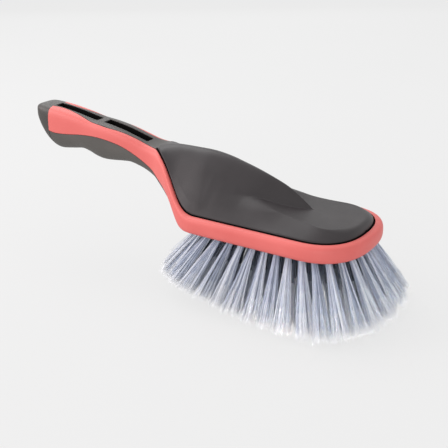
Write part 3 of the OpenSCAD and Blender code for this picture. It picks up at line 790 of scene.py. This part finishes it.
def ring_path(k):
    """The line of ring k on one side, from the rear round to the nose."""
    def arc(cx, reach, n, degrees):
        a = math.radians(degrees)
        return (cx + math.copysign((abs(reach) - PITCH * k) * abs(math.sin(a)) ** (2 / n), reach),
                PITCH * (len(RINGS) - k) * abs(math.cos(a)) ** (2 / n))
    rear = [arc(*REAR_ARC, d) for d in range(90, -1, -3)]
    front = [arc(*NOSE_ARC, d) for d in range(0, 91, 3)]
    return np.array(rear + front)


def half_ring(k, n):
    """Evenly spaced places for n tufts along it."""
    p = ring_path(k)
    run = np.concatenate([[0], np.cumsum(np.linalg.norm(np.diff(p, axis=0), axis=1))])
    s = run[-1] * (np.arange(n) + 0.5) / n
    return np.stack([np.interp(s, run, p[:, 0]), np.interp(s, run, p[:, 1])], 1)


class Filaments:
    """Collects many thin strands as one mesh."""
    def __init__(self):
        self.verts, self.faces, self.mats, self.count = [], [], [], 0

    def add(self, paths, radii, slots, turns):
        """paths (n, p, 3), radii (n, p), slots (n, p - 1)."""
        n, p = paths.shape[:2]
        ahead = paths[:, -1] - paths[:, 0]
        ahead /= np.linalg.norm(ahead, axis=1, keepdims=True)
        side = np.cross(ahead, (1.0, 0.02, 0.0))
        side /= np.linalg.norm(side, axis=1, keepdims=True)
        other = np.cross(ahead, side)
        a = turns[:, None] + 2 * math.pi * np.arange(SIDES) / SIDES
        ring = side[:, None] * np.cos(a)[..., None] + other[:, None] * np.sin(a)[..., None]
        verts = paths[:, :, None] + ring[:, None] * radii[:, :, None, None]
        self.verts.append(verts.reshape(-1, 3))
        rows = np.arange(n)[:, None, None] * p + np.arange(p - 1)[None, :, None]
        base = self.count + rows * SIDES
        i = np.arange(SIDES)
        j = (i + 1) % SIDES
        quads = np.stack([base + i, base + j, base + SIDES + j, base + SIDES + i], -1)
        self.faces.append(quads.reshape(-1, 4))
        self.mats.append(np.repeat(slots.reshape(-1), SIDES))
        self.count += n * p * SIDES

    def build(self, name):
        """One mesh of all strands, none of them below the ground."""
        verts = np.concatenate(self.verts) * MM + np.array(SHIFT)
        verts[:, 2] = np.maximum(verts[:, 2], block_lo[2] - (TRIM - 0.03) * MM)
        me = bpy.data.meshes.new(name)
        faces = np.concatenate(self.faces)
        me.from_pydata(verts.tolist(), [], faces.tolist())
        for m in BRISTLE:
            me.materials.append(m)
        me.polygons.foreach_set("material_index", np.concatenate(self.mats).astype(np.int32))
        me.shade_smooth()
        ob = bpy.data.objects.new(name, me)
        bpy.context.collection.objects.link(ob)
        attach(ob, "root")
        return ob


def unit(v):
    return v / np.linalg.norm(v)


def add_tuft(out, rng, x, y, longest, strands, inner):
    """The strands of one tuft, rooted at x, y and leaning out with the fan."""
    fan = FAN_FRONT if x > FAN_MID else FAN_REAR
    slope = np.array([FAN_X * (x - FAN_MID) * fan, FAN_Y * y]) + rng.normal(0, 0.02, 2)
    lean = math.atan(float(np.hypot(*slope)))
    way = unit(np.array([slope[0], slope[1], -1.0]))
    longest -= REAR_CUT * (1 - float(ease((x - REAR_FROM) / REAR_OVER)))
    longest -= FRONT_CUT * float(ease((x - NOSE_FROM) / NOSE_OVER))
    reach = min(longest, TRIM / math.cos(lean)) * (1 + rng.uniform(-0.012, 0.0))
    a = unit(np.cross(way, (0, 1, 0.0)))
    b = np.cross(way, a)
    root = np.array([x, y, TRIM])
    n = strands
    # strands cling together in clumps, each with its own lean, bow and tint
    clump_r = np.sqrt((np.arange(CLUMPS) + rng.random(CLUMPS)) / CLUMPS)
    clump_turn = np.arange(CLUMPS) * 2.4 + rng.uniform(0, 2 * math.pi)
    clump_way = np.stack([np.cos(clump_turn), np.sin(clump_turn)], 1)
    spread = TIP_R * rng.uniform(0.9, 1.1)
    clump_tip = clump_way * (clump_r ** 0.75 * spread)[:, None] + rng.normal(0, 0.6, (CLUMPS, 2))
    clump_bow = rng.normal(0, 0.8, (CLUMPS, 2)) + rng.normal(0, 0.4, 2)
    clump_tint = rng.choice(3, CLUMPS, p=(0.3, 0.35, 0.35))
    clump_len = rng.normal(0, 0.8, CLUMPS)
    # each strand: its clump, its place in it, its tip, length and bow
    g = rng.integers(0, CLUMPS, n)
    r = np.sqrt(rng.random(n))
    t = rng.uniform(0, 2 * math.pi, n)
    around = np.stack([np.cos(t) * r, np.sin(t) * r], 1)
    start = (clump_way * clump_r[:, None])[g] * (ROOT_R - 0.45) + around * 0.5
    tip = clump_tip[g] + around * 1.05 + rng.normal(0, 0.35, (n, 2))
    length = reach + clump_len[g] + np.minimum(rng.normal(0, 0.8, n), 0.9)
    bow = clump_bow[g] + rng.normal(0, 0.22, (n, 2))
    k = (np.maximum(0, STEPS) ** 1.35)[None, :, None]
    bend = (2 * STEPS * (1 - STEPS))[None, :, None]
    flat = start[:, None] * (1 - k) + tip[:, None] * k + bow[:, None] * bend
    along = way * (STEPS[None, :, None] * length[:, None, None])
    paths = root + along + a * flat[..., :1] + b * flat[..., 1:]
    tint = np.clip(clump_tint[g] + rng.choice((-1, 0, 1), n, p=(0.15, 0.7, 0.15)), 0, 2)
    # painted shade: strands in a tuft's inside get a darker tint
    shade = np.where(clump_r[g] < 0.5, np.maximum(0, tint - 1), tint)   # a tuft's inside is darker
    early, late = rng.random(n) < 0.35, rng.random(n) < 0.5
    slots = np.stack([SHAFT + shade, np.where(early, MIDDLE, SHAFT) + shade, MIDDLE + shade,
                      np.where(late, TIP + np.minimum(tint, 1), MIDDLE + tint)], 1)
    if inner:      # painted shade: the inner rings' roots get a dark tint, as little light reaches them
        slots[:, 0] = ROOT_SHADE
        slots[:, 1] = np.where(early, ROOT_SHADE, SHAFT)
    radii = np.tile(STRAND_R, (n, 1)) * rng.uniform(0.85, 1.1, (n, 1))
    out.add(paths, radii, slots, rng.uniform(0, 2, n))
    # the flagged ends: two hair-thin branches on each strand
    end = paths[:, -1]
    ahead = end - paths[:, -2]
    ahead /= np.linalg.norm(ahead, axis=1, keepdims=True)
    for _ in range(2):
        aside = a * rng.normal(0, 0.55, (n, 1)) + b * rng.normal(0, 0.55, (n, 1))
        far = end + ahead * (length * 0.14 * rng.uniform(0.7, 1.12, n))[:, None] + aside
        sway = a * rng.normal(0, 0.12, (n, 1)) + b * rng.normal(0, 0.12, (n, 1))
        mid = end + (far - end) * 0.5 + sway
        first = TIP + np.where(rng.random(n) < 0.5, 1, np.minimum(tint, 1))
        slots = np.stack([first, np.full(n, TIP + 2)], 1)
        out.add(np.stack([end, mid, far], 1), np.tile(FLAG_R, (n, 1)), slots, rng.uniform(0, 2, n))


def make_tufts(name, spots, longest, nodes, strands, seed, inner=True):
    rng = np.random.default_rng(seed)
    out = Filaments()
    for x, y in spots:
        add_tuft(out, rng, float(x), float(y), longest, strands, inner)
    ob = out.build(name)
    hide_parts(*nodes)


for k, (label, count, longest, strands) in enumerate(RINGS):
    for side, sign in (("left", 1), ("right", -1)):
        spots = half_ring(k, count) * np.array([1, sign])
        make_tufts(f"bristles_{label}_{side}", spots, longest, [f"tufts_{label}_{side}"], strands,
                   100 + 10 * k + sign, k > 0)
centre_row = [(mix(35, 91, i / 7), 0.0) for i in range(8)]
make_tufts("bristles_centre", centre_row, 100.0, ["tufts_centre"], 70, 7)

# ---------------------------------------------------------------- carried-over nodes
for name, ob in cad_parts.items():
    if name == "bristle_block" or name.startswith("anchors_"):
        mat = block_mat if name == "bristle_block" else wire_mat
        ob.data.materials.clear()
        ob.data.materials.append(mat)
        for poly in ob.data.polygons:
            poly.material_index = 0

# ---------------------------------------------------------------- floor, light, camera
def floor_build(nt, p):
    grey = ramp(nt, noise(nt, 3, 2), (0.100, 0.100, 0.100), (0.104, 0.104, 0.104))
    nt.links.new(grey, p.inputs["Base Color"])
    p.inputs["Emission Color"].default_value = (1, 1, 1, 1)
    p.inputs["Emission Strength"].default_value = 0.732
    p.inputs["Specular IOR Level"].default_value = 0.0


floor_mat = material("floor", (0.1, 0.1, 0.1), 0.9, floor_build)
me = bpy.data.meshes.new("floor")
FAR = 12.0      # metres
me.from_pydata([(-FAR, -FAR, 0), (FAR, -FAR, 0), (FAR, FAR, 0), (-FAR, FAR, 0)], [], [(0, 1, 2, 3)])
floor = bpy.data.objects.new("floor", me)
bpy.context.collection.objects.link(floor)
floor.data.materials.append(floor_mat)

scene = bpy.context.scene
world = bpy.data.worlds.new("studio")
scene.world = world
world.use_nodes = True
background = world.node_tree.nodes["Background"]
background.inputs["Color"].default_value = (1.0, 1.0, 1.0, 1)
background.inputs["Strength"].default_value = 0.855

AIM_X = 18.5        # lights and camera aim at the middle plane there
AIM = Vector((AIM_X * MM, 0.0, HEAD_Z * MM)) + SHIFT


def area(name, direction, distance, size, watts, colour=(1, 1, 1), shift=(0, 0, 0), spread=math.pi):
    """A lamp in this direction from AIM, moved by shift, in metres."""
    light = bpy.data.lights.new(name, "AREA")
    light.shape = "RECTANGLE"
    light.size, light.size_y = size
    light.energy = watts
    light.spread = spread
    light.color = colour
    ob = bpy.data.objects.new(name, light)
    bpy.context.collection.objects.link(ob)
    d = Vector(direction).normalized()
    ob.location = AIM + d * distance + Vector(shift)
    ob.rotation_euler = (-d).to_track_quat("-Z", "Y").to_euler()


# Each lamp: direction, distance, size in metres, power and tint.
area("key", (-0.9, -0.5, 0.55), 1.1, (0.6, 0.6), 6.0, (1.0, 0.92, 0.92))
area("back", (-0.1, 1.0, 0.7), 1.2, (1.2, 0.5), 0.4)
area("top", (-0.6, 0.3, 0.75), 1.1, (0.6, 0.5), 4.0)
area("rim", (-0.6, 0.8, 0.16), 1.3, (1.1, 0.3), 0.9)
area("fill", (0.45, -1.0, 0.12), 1.5, (1.6, 0.8), 5.5)
area("skirt", (0.5, -1.0, 0.0), 1.1, (0.2, 0.02), 0.017,
     shift=(0.105, 0.053, -0.05), spread=math.radians(2.5))

# The camera looks from the left front and above; LENS is for a sensor 36 mm wide.
AZ, EL, DIST = math.radians(31.9), math.radians(20.99), 593.1 * MM
SENSOR, LENS = 36.0, 68.303571
LENS_SHIFT = (-0.0129017857, -0.0503125)
back = Vector((math.sin(AZ) * math.cos(EL), -math.cos(AZ) * math.cos(EL), math.sin(EL)))
cam = bpy.data.cameras.new("camera")
cam.sensor_width = SENSOR
cam.lens = LENS
cam.shift_x, cam.shift_y = LENS_SHIFT
cam.clip_start, cam.clip_end = 0.01, 50
camera = bpy.data.objects.new("camera", cam)
bpy.context.collection.objects.link(camera)
camera.location = AIM + back * DIST
camera.rotation_euler = (-back).to_track_quat("-Z", "Y").to_euler()
scene.camera = camera
scene.view_settings.view_transform = "Standard"
